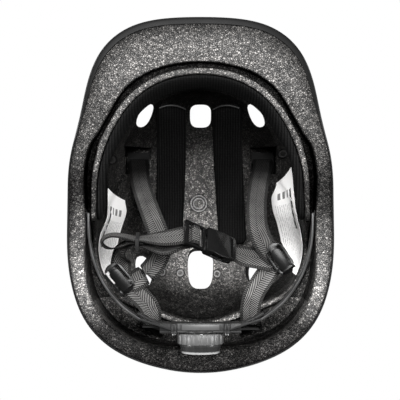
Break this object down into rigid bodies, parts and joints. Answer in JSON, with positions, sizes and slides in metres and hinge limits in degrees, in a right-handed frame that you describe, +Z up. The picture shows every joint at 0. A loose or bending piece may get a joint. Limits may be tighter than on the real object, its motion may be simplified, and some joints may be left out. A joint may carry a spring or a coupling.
{
  "type": "bicycle helmet",
  "caption": "Child's bicycle helmet with a moulded visor, foam liner, pads, webbing harness with side-release buckle, and a head ring tightened by a dial.",
  "frame": {"origin": "centre of the footprint, on the plane that the rim stands on", "axes": "+Z up through the crown, -Y forwards over the visor, +Y backwards to the dial, X across the head"},
  "size_m": [0.2024, 0.278, 0.15],
  "materials": {
    "shell": "thin moulded shell, satin",
    "foam": "expanded bead foam, matt with visible beads",
    "pad": "brushed knit over soft foam",
    "hook": "hook fastener",
    "label": "bare sticker",
    "webbing": "herringbone webbing, grey and black",
    "rubber": "matt",
    "buckle_plastic": "glossy",
    "black_plastic": "fine grain",
    "rack_plastic": "natural acetal",
    "dial_plastic": "glossy",
    "grip_rubber": "soft grip",
    "pin_steel": "plain"
  },
  "bodies": {
    "helmet": {"outer_shell": "shell", "foam_liner": "foam", "brow_pad": "pad", "crown_pad_left": "pad", "crown_pad_right": "pad", "hook_patches": "hook", "strap_anchors": "black_plastic", "label_left": "label", "label_right": "label", "front_strap_left": "webbing", "front_strap_right": "webbing", "rear_strap_left": "webbing", "rear_strap_right": "webbing", "chin_strap_left": "webbing", "chin_strap_right": "webbing", "divider_body_left": "buckle_plastic", "divider_body_right": "buckle_plastic", "divider_pins": "pin_steel", "buckle_plug": "buckle_plastic", "ring_band_left": "black_plastic", "ring_band_right": "black_plastic", "ring_sockets": "black_plastic", "cradle_housing": "black_plastic", "cradle_cover": "black_plastic", "cradle_screws": "pin_steel", "detent_spring": "pin_steel"},
    "dial": {"dial_knob": "dial_plastic", "dial_grip": "grip_rubber", "dial_pinion": "rack_plastic", "dial_screw": "pin_steel"},
    "left_rack": {"rack_left": "rack_plastic"},
    "right_rack": {"rack_right": "rack_plastic"},
    "left_lever": {"divider_lever_left": "buckle_plastic"},
    "right_lever": {"divider_lever_right": "buckle_plastic"},
    "socket": {"buckle_socket": "buckle_plastic"},
    "upper_prong": {"buckle_prong_upper": "buckle_plastic"},
    "lower_prong": {"buckle_prong_lower": "buckle_plastic"},
    "keeper": {"strap_keeper": "rubber"}
  },
  "joints": [
    {"name": "dial_spin", "type": "hinge", "parent": "helmet", "child": "dial", "pos_m": [0, 0.105, 0.018], "axis": [0, -1, 0], "range_deg": [-150, 150]},
    {"name": "left_rack_slide", "type": "slide", "parent": "helmet", "child": "left_rack", "axis": [1, 0, 0], "range_m": [-0.0106, 0.0106]},
    {"name": "right_rack_slide", "type": "slide", "parent": "helmet", "child": "right_rack", "axis": [1, 0, 0], "range_m": [-0.0106, 0.0106]},
    {"name": "left_lever_swing", "type": "hinge", "parent": "helmet", "child": "left_lever", "pos_m": [-0.05589, 0.07128, 0.0188], "axis": [0.766, -0.6428, 0], "range_deg": [0, 75]},
    {"name": "right_lever_swing", "type": "hinge", "parent": "helmet", "child": "right_lever", "pos_m": [0.06595, 0.05678, 0.0188], "axis": [0.8192, -0.5736, 0], "range_deg": [0, 75]},
    {"name": "buckle_release", "type": "slide", "parent": "helmet", "child": "socket", "axis": [0.7912, 0.3522, 0.5], "range_m": [0, 0.018], "deforming": ["chin_strap_right", "buckle_prong_upper", "buckle_prong_lower"]},
    {"name": "upper_prong_squeeze", "type": "hinge", "parent": "helmet", "child": "upper_prong", "pos_m": [0.00351, 0.02935, 0.02045], "axis": [-0.6114, 0.4314, 0.6634], "range_deg": [0, 7], "stiffness_Nm_per_rad": 0.3},
    {"name": "lower_prong_squeeze", "type": "hinge", "parent": "helmet", "child": "lower_prong", "pos_m": [0.00329, 0.03965, 0.01355], "axis": [0.6114, -0.4314, -0.6634], "range_deg": [0, 7], "stiffness_Nm_per_rad": 0.3},
    {"name": "keeper_slide", "type": "slide", "parent": "helmet", "child": "keeper", "axis": [1, 0, 0], "range_m": [-0.002, 0.002]}
  ],
  "couplings": [
    {"joint": "left_rack_slide", "follows": "dial_spin", "m_per_rad": 0.004},
    {"joint": "right_rack_slide", "follows": "dial_spin", "m_per_rad": -0.004}
  ]
}
